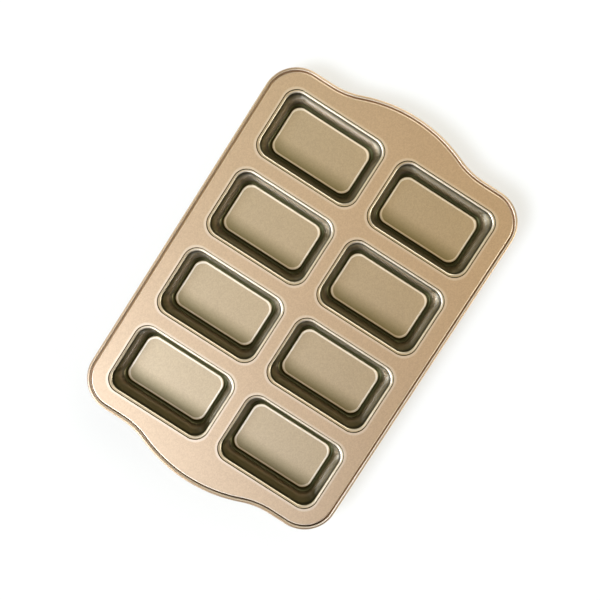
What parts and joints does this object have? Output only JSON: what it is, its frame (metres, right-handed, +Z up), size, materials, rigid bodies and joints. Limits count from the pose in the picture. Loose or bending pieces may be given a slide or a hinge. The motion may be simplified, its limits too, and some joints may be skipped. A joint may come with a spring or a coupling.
{
  "type": "mini loaf pan",
  "caption": "Shallow rectangular baking pan: a flat deck with rows of round-cornered tapered loaf cups, arched handle ends and a rim rolled round a wire.",
  "frame": {"origin": "under the middle of the pan, on the surface that the cups stand on", "axes": "+X along the pan towards one arched end, +Y across it, +Z up out of the cups"},
  "size_m": [0.3856, 0.2586, 0.0315],
  "materials": {
    "deck_coating": "satin champagne-gold metallic non-stick coating",
    "cup_coating": "satin champagne-gold metallic non-stick coating",
    "rim_coating": "satin champagne-gold metallic non-stick coating",
    "wire_steel": "plain drawn wire"
  },
  "bodies": {
    "root": {"deck_band_1": "deck_coating", "deck_band_2": "deck_coating", "deck_band_3": "deck_coating", "deck_band_4": "deck_coating", "loaf_cup_1": "cup_coating", "loaf_cup_2": "cup_coating", "loaf_cup_3": "cup_coating", "loaf_cup_4": "cup_coating", "loaf_cup_5": "cup_coating", "loaf_cup_6": "cup_coating", "loaf_cup_7": "cup_coating", "loaf_cup_8": "cup_coating", "rolled_rim": "rim_coating", "rim_wire": "wire_steel"}
  },
  "joints": []
}
